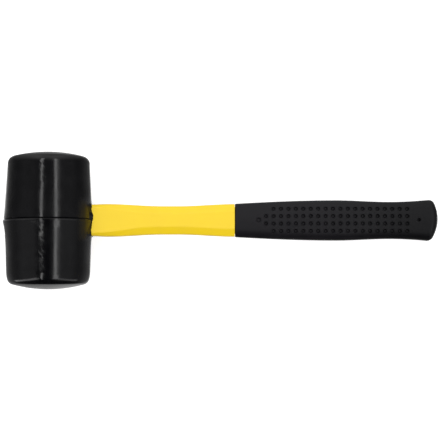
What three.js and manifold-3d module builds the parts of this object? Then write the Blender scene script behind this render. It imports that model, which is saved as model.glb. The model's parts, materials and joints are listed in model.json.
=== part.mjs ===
// A rubber mallet: a moulded rubber head on a fibreglass-cored handle with a soft dimpled grip.
// Lengths are in millimetres and angles in radians. The mallet is drawn straight, with the
// head's striking axis along Y, the handle along +X and the two crossing at zero. At the end
// it is leaned over to lie on a bench, on the lip of its head and the end of its grip, +Z up.

import * as THREE from 'three';
import { mergeVertices } from 'three/addons/utils/BufferGeometryUtils.js';
import Module from 'manifold-3d';

const wasm = await Module();
wasm.setup();

// Fits shared by every piece.
const clearance = 0.3; // left free between two neighbouring pieces
const overrun = 2; // how far a cutter runs on past the face that it opens

// Rubber head. It is moulded in two halves, so a sharp lip runs round it where they meet.
const lipRadius = 35.55;
const lipEdge = 0.7; // thickness of the lip's outer edge
const lipLedge = 1.3; // height of the step from the lip up to the upper barrel
const lipWidth = 0.95; // how far the lip stands out from the foot of the upper barrel
const upperHeight = 53.4; // from the lip to the crown of the upper face
const upperDraft = 3.4; // how far the upper barrel narrows from its foot to its rim
const upperHollow = 0.5; // how far its outline is pulled in between them
const upperRimRounding = 3.5;
const lowerHeight = 54; // from the lip to the crown of the lower face
const lowerDraft = 3.55; // how far the lower barrel narrows from the lip to its rim
const lowerRimRounding = 2.4;
const faceCrownRadius = 108; // radius of the two domed striking faces
const upperHollowShare = 0.35; // of the upper barrel's height, from the lip
const lowerFlareShares = [0.66, 0.18]; // of the lower barrel's draft and height, from the lip
const lowerBarrelShares = [0.75, 0.44];
const headSides = 56;
const headSteps = 5;

// Eye of the head, and the raised rubber collar round its near mouth.
const collarWidth = 1.5;
const collarSetback = 0.6; // from the lip's radius back to the collar's face

// Fibreglass core: a pultruded rod through the whole jacket.
const coreDiameter = 10;
const coreEndWall = 8; // solid jacket left beyond the rod's end
const coreSides = 24;

// Handle jacket: the tang in the eye, the bare shaft, and the stepped part under the grip.
// Stations are measured along the handle from the head's axis.
const jacketWall = 3.2; // over the core, on the broad faces
const tangHeight = 24.4;
const tangBevelWidth = 2;
const tangBevelShare = 0.24; // depth of the bevel, of half the thickness
const tangRecess = 6.05; // from the lip's radius back to the tang's far end
const bareLength = 110.45; // from the lip's radius to the grip's mouth
const swellHeight = 25.1;
const swellReach = 11.5; // from the lip's radius to the swell
const waistHeight = 21.8;
const waistLength = 12;
const waistSetback = 44; // from the grip's mouth back to the waist's near end
const shoulderHeight = 25.2;
const shaftBevelWidth = 5.8;
const shaftBevelShare = 0.4;
const bevelReach = 36.5; // from the lip's radius to where the bevel is at its widest
const shaftCornerRounding = 0.8;
const shaftSteps = 18;
const underGripSteps = 7;

// Grip sleeve: soft rubber moulded over the stepped part of the jacket.
const gripLength = 158.05;
const gripWall = 2.6;
const gripEndWall = 10;
const gripLip = 0.5; // how far the grip's mouth stands proud of the shaft
const gripBellyHeight = 30.9;
const gripNeckHeight = 28.4;
const gripFlareHeight = 31.4;
const gripBellyThickness = 24;
const gripNeckThickness = 22.4;
const gripFlareThickness = 25.4;
const bellyReach = 79; // from the grip's mouth to its belly
const neckSetback = 29.7; // from the flare back to the neck
const gripBevelWidth = 3.2;
const gripBevelShare = 0.42;
const gripFaceCrown = 0.8; // how far the broad faces fall from their middle to their edges
const gripCornerRounding = 1.4;
const mouthRounding = 0.8;
const endRounding = 3;
const endCrownRadius = 27;
const endCrownOffset = 1.2; // the end's crown sits this far to the upper side of the axis
const endFaceShares = [0.62, 0.28];
const roundingSteps = 3;

// Dimples pressed into both broad faces of the grip, and a locating-pin hole behind them.
const dimplePitch = 5.76;
const dimpleDiameter = 3;
const leadDimpleDiameter = 3.6;
const dimpleDepth = 0.8;
const dimpleOverrun = 0.4;
const dimpleSides = 8;
const dimpleRows = 4;
const dimpleSetback = 29.5; // from the grip's mouth to the first full column
const dimpleMargin = 16; // least length left bare between the last column and the flare
const pinHoleDiameter = 1.7;
const pinHoleDepth = 1.6;
const pinHoleSides = 12;
const pinHoleSetback = 7.4; // from the flare back to the hole

// Epoxy that fills the far mouth of the eye.
const adhesiveDepth = 2;

// Sizes that follow from the ones above.
const tangEnd = lipRadius - tangRecess;
const shaftThickness = coreDiameter + 2 * (clearance + jacketWall);
const gripStart = lipRadius + bareLength;
const gripEnd = gripStart + gripLength;
const gripMouthHeight = shoulderHeight + 2 * gripLip;
const gripMouthThickness = shaftThickness + 2 * gripLip;
const gripFlareAt = endCrown(-gripFlareHeight / 2, 0) - endRounding;
const gripBellyAt = gripStart + bellyReach;
const gripNeckAt = gripFlareAt - neckSetback;
const firstColumnAt = gripStart + dimpleSetback;
const dimpleColumns = Math.floor((gripFlareAt - dimpleMargin - firstColumnAt) / dimplePitch) + 1;
const firstSplitAt = firstColumnAt - 2.5 * dimplePitch;
const lastSplitAt = firstColumnAt + (dimpleColumns - 0.5) * dimplePitch;
const jacketEnd = gripEnd - gripEndWall;
const coreEnd = jacketEnd - coreEndWall;

const splitShares = [0.5, 0, -0.5]; // lines along a broad face, as shares of its half width
const roundingShare = 0.45; // the most of an edge that the rounding of a corner may take
const quarterTurn = Math.PI / 2;
const smooth = THREE.MathUtils.smoothstep;

// A closed geometry as a solid that can be joined and cut.
function solidOf(geometry) {
  const bare = geometry.index ? geometry.clone() : mergeVertices(geometry.clone());
  bare.deleteAttribute('normal');
  bare.deleteAttribute('uv');
  const merged = mergeVertices(bare);
  const corners = merged.index.array;
  const kept = [];
  for (let first = 0; first < corners.length; first += 3) {
    const [a, b, c] = corners.slice(first, first + 3);
    if (a !== b && b !== c && c !== a) {
      kept.push(a, b, c);
    }
  }
  const vertProperties = new Float32Array(merged.attributes.position.array);
  const triVerts = new Uint32Array(kept);
  return new wasm.Manifold(new wasm.Mesh({ numProp: 3, vertProperties, triVerts }));
}

// The geometry of a finished solid.
function geometryOf(solid) {
  const { vertProperties, triVerts } = solid.getMesh();
  const geometry = new THREE.BufferGeometry();
  geometry.setAttribute('position', new THREE.BufferAttribute(vertProperties, 3));
  geometry.setIndex(new THREE.BufferAttribute(triVerts, 1));
  geometry.computeVertexNormals();
  return geometry;
}

// A closed skin over rings of points that follow each other along +X. Each ring is convex
// and runs counter-clockwise as seen from +X. A fan of triangles closes each end.
function loft(rings) {
  const size = rings[0].length;
  const last = (rings.length - 1) * size;
  const triangles = [];
  for (let start = 0; start < last; start += size) {
    for (let side = 0; side < size; side += 1) {
      const near = start + side;
      const nearNext = start + ((side + 1) % size);
      triangles.push(near, nearNext, near + size);
      triangles.push(nearNext, nearNext + size, near + size);
    }
  }
  for (let side = 1; side < size - 1; side += 1) {
    triangles.push(0, side + 1, side);
    triangles.push(last, last + side, last + side + 1);
  }
  const geometry = new THREE.BufferGeometry().setFromPoints(rings.flat());
  geometry.setIndex(triangles);
  return geometry;
}

// A section of the handle, square to X: an upright eight-sided outline with softened corners.
// The broad faces lie across Z and may be crowned.
function section({ height, thickness, bevelWidth, bevelShare, rounding, crown = 0 }) {
  const side = height / 2;
  const face = thickness / 2;
  const flat = side - bevelWidth;
  const shoulder = face - crown;
  const band = shoulder - bevelShare * face;
  const upper = [
    new THREE.Vector2(side, band),
    new THREE.Vector2(flat, shoulder),
    new THREE.Vector2(-flat, shoulder),
    new THREE.Vector2(-side, band),
  ];
  const corners = [...upper, ...upper.map((corner) => corner.clone().negate())];
  const outline = [];
  corners.forEach((corner, number) => {
    const before = corners[(number + corners.length - 1) % corners.length];
    const after = corners[(number + 1) % corners.length];
    const start = alongEdge(corner, before, rounding);
    const end = alongEdge(corner, after, rounding);
    outline.push(...new THREE.QuadraticBezierCurve(start, corner, end).getPoints(2));
    if (number % 4 === 1) {
      const facing = Math.sign(corner.y);
      for (const share of splitShares) {
        const out = face - crown * share ** 2;
        outline.push(new THREE.Vector2(facing * share * flat, facing * out));
      }
    }
  });
  return outline;
}

// The point where a corner's rounding meets the edge that runs from it to another corner.
function alongEdge(corner, other, rounding) {
  const edge = other.clone().sub(corner);
  const reach = Math.min(rounding, roundingShare * edge.length());
  return corner.clone().add(edge.setLength(reach));
}

// Stands an outline up at a station along the handle.
function ringAt(station, outline) {
  return outline.map((point) => new THREE.Vector3(station, point.x, point.y));
}

// Even stations from one end to another, both included.
function stations(from, to, steps) {
  return Array.from({ length: steps + 1 }, (_, step) => from + ((to - from) * step) / steps);
}

// How far a domed striking face falls from its crown, at a radius from the axis.
function faceFall(radius) {
  return radius ** 2 / (2 * faceCrownRadius);
}

// Half outline of the head, from the crown of the lower face out and up to the upper crown.
function headOutline() {
  const lowerRim = new THREE.Vector2(lipRadius - lowerDraft, 0);
  lowerRim.y = faceFall(lowerRim.x) - lowerHeight;
  const upperFoot = new THREE.Vector2(lipRadius - lipWidth, lipLedge);
  const upperRim = new THREE.Vector2(upperFoot.x - upperDraft, 0);
  upperRim.y = upperHeight - faceFall(upperRim.x);
  const lowerFace = lowerRim.clone().sub(new THREE.Vector2(lowerRimRounding, 0));
  lowerFace.y = faceFall(lowerFace.x) - lowerHeight;
  const upperFace = upperRim.clone().sub(new THREE.Vector2(upperRimRounding, 0));
  upperFace.y = upperHeight - faceFall(upperFace.x);
  const hollow = upperFoot.clone().lerp(upperRim, upperHollowShare);
  hollow.x -= upperHollow;
  const [flare, barrel] = [lowerFlareShares, lowerBarrelShares].map(([draftShare, heightShare]) => {
    return new THREE.Vector2(lipRadius - lowerDraft * draftShare, lowerRim.y * heightShare);
  });

  const outline = new THREE.Path();
  outline.moveTo(0, -lowerHeight);
  outline.quadraticCurveTo(lowerFace.x / 2, -lowerHeight, lowerFace.x, lowerFace.y);
  outline.quadraticCurveTo(lowerRim.x, lowerRim.y, lowerRim.x, lowerRim.y + lowerRimRounding);
  outline.bezierCurveTo(barrel.x, barrel.y, flare.x, flare.y, lipRadius, 0);
  outline.lineTo(lipRadius, lipEdge);
  outline.lineTo(upperFoot.x, upperFoot.y);
  outline.quadraticCurveTo(hollow.x, hollow.y, upperRim.x, upperRim.y - upperRimRounding);
  outline.quadraticCurveTo(upperRim.x, upperRim.y, upperFace.x, upperFace.y);
  outline.quadraticCurveTo(upperFace.x / 2, upperHeight, 0, upperHeight);
  return outline.getPoints(headSteps);
}

// The tang's outline, grown on all sides by an allowance.
function tangSection(allowance) {
  return section({
    height: tangHeight + 2 * allowance,
    thickness: shaftThickness + 2 * allowance,
    bevelWidth: tangBevelWidth,
    bevelShare: tangBevelShare,
    rounding: shaftCornerRounding,
  });
}

// A straight bar of the tang's outline between two stations.
function tangBar(from, to, allowance) {
  const outline = tangSection(allowance);
  return loft([ringAt(from, outline), ringAt(to, outline)]);
}

function makeHead() {
  const barrel = solidOf(new THREE.LatheGeometry(headOutline(), headSides));
  const collarFace = lipRadius - collarSetback;
  const collar = solidOf(tangBar(0, collarFace, clearance + collarWidth));
  const eye = solidOf(tangBar(-lipRadius - overrun, lipRadius + overrun, clearance));
  return barrel.add(collar).subtract(eye);
}

// Height of the bare shaft: a swell in front of the head, a waist, and a shoulder at the grip.
function shaftHeight(station) {
  const swellAt = lipRadius + swellReach;
  const waistEnd = gripStart - waistSetback;
  const rise = (swellHeight - tangHeight) * smooth(station, lipRadius, swellAt);
  const fall = (swellHeight - waistHeight) * smooth(station, swellAt, waistEnd - waistLength);
  const regain = (shoulderHeight - waistHeight) * smooth(station, waistEnd, gripStart);
  return tangHeight + rise - fall + regain;
}

function shaftSection(station) {
  const opening = THREE.MathUtils.clamp((station - lipRadius) / bevelReach, 0, 1);
  return section({
    height: shaftHeight(station),
    thickness: shaftThickness,
    bevelWidth: THREE.MathUtils.lerp(tangBevelWidth, shaftBevelWidth, opening),
    bevelShare: THREE.MathUtils.lerp(tangBevelShare, shaftBevelShare, opening),
    rounding: shaftCornerRounding,
  });
}

// The end of the grip is a shallow crown. This is its station over a point of the section.
function endCrown(across, out) {
  return gripEnd - ((across - endCrownOffset) ** 2 + out ** 2) / (2 * endCrownRadius);
}

// A size of the grip along the handle, through its mouth, belly, neck and flare.
function gripSize(station, mouth, belly, neck, flare) {
  const toBelly = THREE.MathUtils.clamp((station - gripStart) / (gripBellyAt - gripStart), 0, 1);
  const toFlare = THREE.MathUtils.clamp((station - gripNeckAt) / (gripFlareAt - gripNeckAt), 0, 1);
  const rise = (belly - mouth) * Math.sin(toBelly * quarterTurn);
  const fall = (belly - neck) * smooth(station, gripBellyAt, gripNeckAt);
  return mouth + rise - fall + (flare - neck) * toFlare ** 2;
}

function gripHeight(station) {
  return gripSize(station, gripMouthHeight, gripBellyHeight, gripNeckHeight, gripFlareHeight);
}

function gripThickness(station) {
  return gripSize(station, gripMouthThickness, gripBellyThickness, gripNeckThickness, gripFlareThickness);
}

// The grip's outline at a station, drawn in on all sides by an inset.
function gripSection(station, inset) {
  return section({
    height: gripHeight(station) - 2 * inset,
    thickness: gripThickness(station) - 2 * inset,
    bevelWidth: gripBevelWidth,
    bevelShare: gripBevelShare,
    rounding: gripCornerRounding,
    crown: gripFaceCrown,
  });
}

// Rings of the jacket's stepped part under the grip, grown on all sides by an allowance.
function stepRings(start, allowance) {
  const inset = gripWall - allowance;
  const rest = [...stations(firstSplitAt, lastSplitAt, underGripSteps), jacketEnd + allowance];
  const mouth = ringAt(start, gripSection(gripStart, inset));
  return [mouth, ...rest.map((at) => ringAt(at, gripSection(at, inset)))];
}

function makeJacket() {
  const shoulder = gripStart - clearance;
  const tang = ringAt(-tangEnd, shaftSection(-tangEnd));
  const shaft = stations(lipRadius, shoulder, shaftSteps).map((at) => ringAt(at, shaftSection(at)));
  const rings = [tang, ...shaft, ...stepRings(shoulder, 0)];
  const body = solidOf(loft(rings));
  const bore = solidOf(rod(-tangEnd - overrun, coreEnd + clearance, coreDiameter + 2 * clearance));
  return body.subtract(bore);
}

// A round bar along the handle between two stations.
function rod(from, to, diameter) {
  const bar = new THREE.CylinderGeometry(diameter / 2, diameter / 2, to - from, coreSides);
  bar.rotateZ(-quarterTurn);
  return bar.translate((from + to) / 2, 0, 0);
}

// The grip's outer skin, from its rounded mouth to its crowned end.
function gripSkin() {
  const turns = stations(0, quarterTurn, roundingSteps);
  const mouth = turns.map((turn) => {
    const at = gripStart + mouthRounding * (1 - Math.cos(turn));
    return ringAt(at, gripSection(at, mouthRounding * (1 - Math.sin(turn))));
  });
  const wall = [
    ...stations(firstSplitAt, lastSplitAt, dimpleColumns + 2),
    ...stations(lastSplitAt, gripFlareAt, roundingSteps).slice(1, -1),
  ].map((at) => ringAt(at, gripSection(at, 0)));
  const end = turns.map((turn) => {
    const outline = gripSection(gripFlareAt, endRounding * (1 - Math.cos(turn)));
    return crownRing(outline, endRounding * (1 - Math.sin(turn)));
  });
  const rim = gripSection(gripFlareAt, endRounding);
  const face = endFaceShares.map((share) => {
    return crownRing(rim.map((point) => point.clone().multiplyScalar(share)), 0);
  });
  return loft([...mouth, ...wall, ...end, ...face]);
}

// Lays an outline on the crown of the grip's end, or short of it by a setback.
function crownRing(outline, setback) {
  return outline.map(({ x, y }) => new THREE.Vector3(endCrown(x, y) - setback, x, y));
}

// Height of a broad face of the grip over a point of its length and width.
function faceHeight(station, across) {
  const flat = gripHeight(station) / 2 - gripBevelWidth;
  return gripThickness(station) / 2 - gripFaceCrown * (across / flat) ** 2;
}

// A cutter and its mirror image, each moved out to its own broad face of the grip.
function onBothFaces(cutter, station, across) {
  const near = cutter.translate(station, across, faceHeight(station, across));
  const far = near.clone().rotateX(Math.PI).translate(0, 2 * across, 0);
  return [solidOf(near), solidOf(far)];
}

// A shallow cone point down, whose slope runs on above the face.
function dimpleCutter(diameter) {
  const height = dimpleDepth + dimpleOverrun;
  const radius = ((diameter / 2) * height) / dimpleDepth;
  const cone = new THREE.ConeGeometry(radius, height, dimpleSides).rotateX(-quarterTurn);
  return cone.translate(0, 0, height / 2 - dimpleDepth);
}

function pinHoleCutter() {
  const height = pinHoleDepth + overrun;
  const radius = pinHoleDiameter / 2;
  const drill = new THREE.CylinderGeometry(radius, radius, height, pinHoleSides).rotateX(quarterTurn);
  return drill.translate(0, 0, height / 2 - pinHoleDepth);
}

// Every pit in the grip: the full columns of dimples, the pair and the larger single one that
// lead in to them, and the locating-pin holes.
function pits() {
  const cutters = [];
  for (let column = -1; column < dimpleColumns; column += 1) {
    const station = firstColumnAt + column * dimplePitch;
    const rows = column < 0 ? dimpleRows / 2 : dimpleRows;
    for (let row = 0; row < rows; row += 1) {
      const across = (row - (rows - 1) / 2) * dimplePitch;
      cutters.push(...onBothFaces(dimpleCutter(dimpleDiameter), station, across));
    }
  }
  cutters.push(...onBothFaces(dimpleCutter(leadDimpleDiameter), firstColumnAt - 2 * dimplePitch, 0));
  cutters.push(...onBothFaces(pinHoleCutter(), gripFlareAt - pinHoleSetback, 0));
  return wasm.Manifold.union(cutters);
}

function makeGrip() {
  const cavity = solidOf(loft(stepRings(gripStart - overrun, clearance)));
  return solidOf(gripSkin()).subtract(cavity).subtract(pits());
}

function makeCore() {
  return solidOf(rod(-tangEnd, coreEnd, coreDiameter));
}

function makeAdhesive() {
  const inner = -tangEnd - clearance;
  return solidOf(tangBar(inner - adhesiveDepth, inner, 0));
}

function piece(name, solid, color, roughness) {
  const material = new THREE.MeshStandardMaterial({ color, roughness, metalness: 0 });
  const mesh = new THREE.Mesh(geometryOf(solid), material);
  mesh.name = name;
  return mesh;
}

const mallet = new THREE.Group();
mallet.add(piece('rubber_head', makeHead(), '#1c1c1e', 0.4));
mallet.add(piece('handle_jacket', makeJacket(), '#f9db46', 0.45));
mallet.add(piece('fibreglass_core', makeCore(), '#d8d2ae', 0.5));
mallet.add(piece('grip_sleeve', makeGrip(), '#2b2b2c', 0.7));
mallet.add(piece('eye_adhesive', makeAdhesive(), '#b98f3e', 0.25));

// The lean that lets both the lip and the underside of the grip's flare touch the bench.
const flareDepth = gripFlareThickness / 2;
const restAt = endCrown(0, flareDepth) - endRounding;
const restReach = Math.hypot(restAt, flareDepth);
mallet.rotation.y = Math.asin(lipRadius / restReach) - Math.asin(flareDepth / restReach);

// Centred over the origin, standing on the plane at zero height.
const part = new THREE.Group();
part.add(mallet);
const box = new THREE.Box3().setFromObject(part, true);
const middle = box.getCenter(new THREE.Vector3());
part.position.set(-middle.x, -middle.y, -box.min.z);

export default part;
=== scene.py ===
import json
from math import cos, pi, radians, sin, tau

import bpy
from mathutils import Matrix, Vector


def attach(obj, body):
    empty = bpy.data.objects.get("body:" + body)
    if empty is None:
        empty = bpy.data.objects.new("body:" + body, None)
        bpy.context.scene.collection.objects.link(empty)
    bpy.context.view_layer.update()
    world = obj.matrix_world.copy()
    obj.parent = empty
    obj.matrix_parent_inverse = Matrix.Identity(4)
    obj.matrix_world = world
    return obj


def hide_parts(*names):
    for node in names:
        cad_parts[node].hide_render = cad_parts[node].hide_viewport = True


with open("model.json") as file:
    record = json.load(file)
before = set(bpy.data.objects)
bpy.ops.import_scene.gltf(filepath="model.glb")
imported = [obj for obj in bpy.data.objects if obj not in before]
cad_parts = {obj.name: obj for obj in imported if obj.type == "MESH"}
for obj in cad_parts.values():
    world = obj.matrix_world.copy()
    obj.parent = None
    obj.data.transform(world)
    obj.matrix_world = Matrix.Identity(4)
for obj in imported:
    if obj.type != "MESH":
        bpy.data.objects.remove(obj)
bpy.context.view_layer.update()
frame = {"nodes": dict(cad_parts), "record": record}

# How the mallet lies, and the camera. The shapes below are drawn straight, in millimetres, with
# the head's striking axis along Y, the handle along +X and the two crossing at zero. The record's
# first mount, on top of the shaft's waist, says how that straight mallet lies in the frame.
MM = 0.001
WAIST_AT = 96
SHAFT_THICKNESS = 17
PHOTO_SIDE = 440  # pixels
PIXEL = 0.7816  # millimetres, at the depth of the handle's axis
PHOTO_MIDDLE = Vector((134.3, 0.4, 0))
CAMERA_DISTANCE = 1055
CAMERA_TILT = radians(2.9)  # the camera stands a little to the lower side of the photograph

waist_mount = frame["record"]["mounts"][0]
mallet_up = Vector(waist_mount["axis"]).normalized()
mallet_along = Vector((mallet_up.z, 0, -mallet_up.x))
lying = Matrix((mallet_along, mallet_up.cross(mallet_along), mallet_up)).transposed().to_4x4()
waist_top = Vector((WAIST_AT, 0, SHAFT_THICKNESS / 2)) * MM
lying.translation = Vector(waist_mount["pos_m"]) - lying.to_3x3() @ waist_top
straightened = lying.inverted()


def looking_at(target, position):
    """The place of a camera or lamp that looks from a position to a target, with +Y upright."""
    back = (position - target).normalized()
    right = Vector((0, 1, 0)).cross(back).normalized()
    place = Matrix((right, back.cross(right), back)).transposed().to_4x4()
    place.translation = position * MM
    return lying @ place


camera = bpy.data.objects.new("camera", bpy.data.cameras.new("camera"))
bpy.context.scene.collection.objects.link(camera)
camera_offset = Vector((0, -sin(CAMERA_TILT), cos(CAMERA_TILT))) * CAMERA_DISTANCE
camera.matrix_world = looking_at(PHOTO_MIDDLE, PHOTO_MIDDLE + camera_offset)
camera.data.sensor_width = 36
camera.data.lens = camera.data.sensor_width * CAMERA_DISTANCE / (PIXEL * PHOTO_SIDE)
bpy.context.scene.camera = camera


# Floor. A table of white opal acrylic, faintly lit from below, which runs out of view on all
# sides and keeps shadows pale. Glossy surfaces don't see it: they see the lower half of the
# studio instead, which is pale only straight underneath.
FLOOR_SIDE = 8000
ACRYLIC_WHITE = "#bcbcbc"
ACRYLIC_GLOW = 0.72


def colour(hexadecimal):
    """A linear colour with alpha from an sRGB hex value."""
    linear = []
    for start in (1, 3, 5):
        value = int(hexadecimal[start:start + 2], 16) / 255
        linear.append(value / 12.92 if value <= 0.04045 else ((value + 0.055) / 1.055) ** 2.4)
    return (*linear, 1)


def add(tree, kind, inputs=None, **options):
    """Adds a node, sets its options, and gives each listed input its value or its link."""
    made = tree.nodes.new(kind)
    for option, value in options.items():
        setattr(made, option, value)
    for socket, value in (inputs or {}).items():
        if isinstance(value, bpy.types.NodeSocket):
            tree.links.new(value, made.inputs[socket])
        else:
            made.inputs[socket].default_value = value
    return made


def new_finish(name):
    """An empty node material. Returns it and its tree."""
    finish = bpy.data.materials.new(name)
    finish.use_nodes = True
    finish.node_tree.nodes.clear()
    return finish, finish.node_tree


floor_half = FLOOR_SIDE / 2 * MM
floor_mesh = bpy.data.meshes.new("floor")
floor_signs = [(-1, -1), (1, -1), (1, 1), (-1, 1)]
floor_corners = [(x * floor_half, y * floor_half, 0) for x, y in floor_signs]
floor_mesh.from_pydata(floor_corners, [], [(0, 1, 2, 3)])
floor = bpy.data.objects.new("floor", floor_mesh)
bpy.context.scene.collection.objects.link(floor)
floor.visible_glossy = False

acrylic, tree = new_finish("opal_acrylic_lit_from_below")
shader = add(tree, "ShaderNodeBsdfPrincipled", {
    "Base Color": colour(ACRYLIC_WHITE), "Roughness": 1.0, "Specular IOR Level": 0.0,
    "Emission Color": (1, 1, 1, 1), "Emission Strength": ACRYLIC_GLOW,
})
add(tree, "ShaderNodeOutputMaterial", {"Surface": shader.outputs[0]})
floor_mesh.materials.append(acrylic)


# Studio light. Soft daylight from above, strip lamps that show as two streaks down the barrel,
# and two low boxes that light its lower rim. Glossy surfaces see a room that is dark overhead,
# grey to the left and right, lighter to the upper side, and pale straight down, as the table is.
DAYLIGHT = 2.29
DAYLIGHT_LEAN = radians(7)  # towards the photograph's upper side
DAYLIGHT_ANGLE = radians(110)
DAYLIGHT_DISTANCE = 1700
BACKDROP_GREY = 1.0
LAMPS = {  # place in millimetres from the head's middle, width, length, radiance
    "right_strip": ((2238, 642, 4586), 660, 4590, 3.85),
    "right_strip_glow": ((2708, 642, 4313), 900, 4590, 0.6),
    "right_strip_end": ((2203, -2142, 4043), 1150, 1680, 3.4),
    "left_strip": ((-1036, 1570, 5006), 500, 3140, 4.8),
    "left_strip_end": ((-1036, -2050, 5006), 500, 3198, 4.8),
    "low_left_box": ((-1109, -930, 403), 2220, 360, 2.2),
    "low_right_box": ((1107, -930, 403), 1730, 360, 1.2),
}

# The room's greys, by the three parts of a ray's direction, each of which runs from -1 to 1.
GREY_ASIDE = (0.2, 0.5)  # how far to the left or right the dark overhead turns grey
TABLE_BELOW = (-0.6, -0.82)  # how far down the table comes into sight
RIGHT_SIDE_DROP = 0.12  # how much lower the greys by height stand on the right
HEIGHT_GREYS = (  # from straight down to straight up
    (-1, 0.6), (-0.9, 0.33), (-0.55, 0.28), (-0.3, 0.19), (0, 0.19), (0.4, 0.4), (1, 0.4),
)
TABLE_GREYS = ((0, 0.68), (0.12, 0.66), (0.3, 0.3), (0.6, 0.2))  # by how far aside
SIDE_SHADES = (  # share of those two, from the lower side to the upper side
    (-0.8, 0.15), (-0.6, 0.6), (-0.48, 1), (-0.1, 1), (-0.03, 0.8), (0.02, 0.8), (0.04, 3.2),
    (0.08, 3.2), (0.11, 0.58),
)
UPPER_SIDE_GREYS = (  # towards the upper side
    (0, 0), (0.1, 0.06), (0.24, 0.19), (0.45, 0.45), (0.7, 0.9), (0.88, 1.2),
)
UPPER_SIDE_FALL = (  # share of those, from straight down to straight up
    (-0.7, 0.35), (-0.2, 0.6), (0.3, 1), (0.7, 1.3), (0.93, 1),
)
UPPER_SIDE_SHARES = ((0, 0.75), (0.15, 0.8), (0.3, 1), (0.7, 0.75))  # by how far aside

bpy.context.scene.view_settings.view_transform = "Standard"

daylight = bpy.data.objects.new("daylight", bpy.data.lights.new("daylight", "SUN"))
bpy.context.scene.collection.objects.link(daylight)
daylight.data.energy = DAYLIGHT
daylight.data.angle = DAYLIGHT_ANGLE
sun_offset = Vector((0, sin(DAYLIGHT_LEAN), cos(DAYLIGHT_LEAN))) * DAYLIGHT_DISTANCE
daylight.matrix_world = looking_at(Vector((0, 0, 0)), sun_offset)
daylight.visible_glossy = False

for name, (lamp_place, width, length, radiance) in LAMPS.items():
    lamp = bpy.data.objects.new(name, bpy.data.lights.new(name, "AREA"))
    bpy.context.scene.collection.objects.link(lamp)
    lamp.data.shape = "RECTANGLE"
    lamp.data.size = width * MM
    lamp.data.size_y = length * MM
    lamp.data.energy = radiance * pi * lamp.data.size * lamp.data.size_y
    lamp.matrix_world = looking_at(Vector((0, 0, 0)), Vector(lamp_place))
    lamp.visible_camera = False


def maths(tree, operation, *values):
    """The result of one step of arithmetic."""
    inputs = dict(enumerate(values))
    return add(tree, "ShaderNodeMath", inputs, operation=operation).outputs[0]


def mapped(tree, value, given, wanted=(0.0, 1.0), curve="LINEAR"):
    """Maps a value from one range to another, and holds it at the ends."""
    return add(tree, "ShaderNodeMapRange", {
        "Value": value, "From Min": given[0], "From Max": given[1],
        "To Min": wanted[0], "To Max": wanted[1],
    }, interpolation_type=curve).outputs[0]


def greys_by(tree, value, greys):
    """A grey that changes in steps of a value from -1 to 1."""
    ramp = add(tree, "ShaderNodeValToRGB", {0: mapped(tree, value, (-1.0, 1.0))})
    while len(ramp.color_ramp.elements) < len(greys):
        ramp.color_ramp.elements.new(1.0)
    for stop, (direction, grey) in zip(ramp.color_ramp.elements, greys):
        stop.position = (direction + 1) / 2
        stop.color = (grey, grey, grey, 1)
    return ramp.outputs[0]


studio = bpy.data.worlds.new("studio")
bpy.context.scene.world = studio
studio.use_nodes = True
tree = studio.node_tree
tree.nodes.clear()
direction = add(tree, "ShaderNodeTexCoord").outputs["Generated"]
toward_x, toward_y, toward_z = add(tree, "ShaderNodeSeparateXYZ", {"Vector": direction}).outputs
aside = maths(tree, "ABSOLUTE", toward_x)
grey_aside = mapped(tree, aside, GREY_ASIDE, curve="SMOOTHSTEP")
table_below = mapped(tree, toward_z, TABLE_BELOW, curve="SMOOTHSTEP")
tilted = maths(tree, "MULTIPLY_ADD", toward_x, RIGHT_SIDE_DROP, toward_z)
sides = maths(tree, "MULTIPLY", grey_aside, greys_by(tree, tilted, HEIGHT_GREYS))
table = maths(tree, "MULTIPLY", table_below, greys_by(tree, aside, TABLE_GREYS))
shaded = maths(tree, "MAXIMUM", sides, table)
shaded = maths(tree, "MULTIPLY", shaded, greys_by(tree, toward_y, SIDE_SHADES))
upper_side = greys_by(tree, toward_y, UPPER_SIDE_GREYS)
upper_side = maths(tree, "MULTIPLY", upper_side, greys_by(tree, aside, UPPER_SIDE_SHARES))
upper_side = maths(tree, "MULTIPLY", upper_side, greys_by(tree, toward_z, UPPER_SIDE_FALL))
room = maths(tree, "MAXIMUM", shaded, upper_side)
room_light = add(tree, "ShaderNodeBackground", {"Color": room})
backdrop = (BACKDROP_GREY, BACKDROP_GREY, BACKDROP_GREY, 1)
backdrop_light = add(tree, "ShaderNodeBackground", {"Color": backdrop})
ray = add(tree, "ShaderNodeLightPath")
seen = add(tree, "ShaderNodeMixShader", {
    0: ray.outputs["Is Camera Ray"],
    1: room_light.outputs["Background"],
    2: backdrop_light.outputs["Background"],
})
add(tree, "ShaderNodeOutputWorld", {"Surface": seen.outputs["Shader"]})


# Rubber head. One block of black rubber, compression moulded in a steel mould of two halves,
# which leaves a sharp lip round its middle and a groove over it. The tang is driven through its
# eye, and the rubber that it pushes out stands round the near mouth as a low, uneven collar.
LIP_RADIUS = 35.55
LIP_FACE = 1.1  # height of the lip's upright edge
LIP_ROUNDING = 0.35
LIP_WIDTH = 0.65  # how far the lip stands out from the foot of the upper barrel
LIP_FALL = 0.35  # share of the way into the groove over which the lip's upper edge rounds off
GROOVE_DEPTH = 0.6  # behind the foot of the upper barrel
GROOVE_HEIGHT = 1.2  # from the lip to that foot; it is deepest a third of the way up
UPPER_HEIGHT = 53.5  # from the lip to the crown of the upper face
UPPER_DRAFT = 2.9  # how far the upper barrel narrows from its foot to its rim
UPPER_HOLLOW = 0.5  # how far its outline is pulled in between them
UPPER_HOLLOW_SHARE = 0.35  # of the upper barrel's height, from the lip
UPPER_RIM_ROUNDING = 4.6  # how far in the face the rounding starts
UPPER_RIM_FADE = 5.5  # how far down the wall it runs out
LOWER_HEIGHT = 53.7
LOWER_DRAFT = 3.2
LOWER_RIM_ROUNDING = 4.4
LOWER_RIM_FADE = 12.5
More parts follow.
